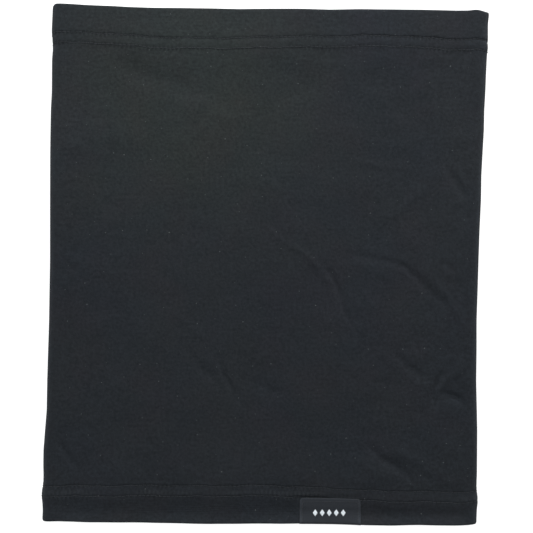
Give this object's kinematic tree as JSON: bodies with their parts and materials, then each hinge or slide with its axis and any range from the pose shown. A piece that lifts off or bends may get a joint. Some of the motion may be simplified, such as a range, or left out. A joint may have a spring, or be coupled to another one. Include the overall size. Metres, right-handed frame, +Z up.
{
  "type": "neck gaiter",
  "caption": "Black jersey neck gaiter lying flat: a hemmed stretch-knit tube worn over the neck and lower face for skiing and snowboarding.",
  "frame": {"origin": "centre of the object's box in plan, on the plane that the back layer rests on", "axes": "+Y from the labelled bottom hem to the top hem, +X to the right when the label faces up, +Z up through both layers"},
  "size_m": [0.2614, 0.3052, 0.0126],
  "materials": {
    "jersey_knit": "matte black-charcoal single jersey with a short brushed nap",
    "needle_thread": "black polyester sewing thread, low sheen",
    "looper_thread": "black textured polyester thread, matte",
    "woven_label": "dark grey damask-woven polyester tape, slight sheen",
    "label_thread": "dark grey sewing thread",
    "care_label_satin": "off-white polyester satin, blank"
  },
  "bodies": {
    "gaiter": {"knit_tube": "jersey_knit", "top_hem_edge_needle_thread": "needle_thread", "top_hem_body_needle_thread": "needle_thread", "bottom_hem_edge_needle_thread": "needle_thread", "bottom_hem_body_needle_thread": "needle_thread", "side_seam_needle_thread": "needle_thread", "top_hem_looper_thread": "looper_thread", "bottom_hem_looper_thread": "looper_thread", "side_seam_upper_looper_thread": "looper_thread", "side_seam_lower_looper_thread": "looper_thread", "hem_label": "woven_label", "hem_label_stitching": "label_thread"},
    "care_flap": {"care_label": "care_label_satin"}
  },
  "joints": [
    {"name": "care_label_swing", "type": "hinge", "parent": "gaiter", "child": "care_flap", "pos_m": [0.11523, -0.062, 0.0055], "axis": [0, 1, 0], "range_deg": [0, 12]}
  ]
}
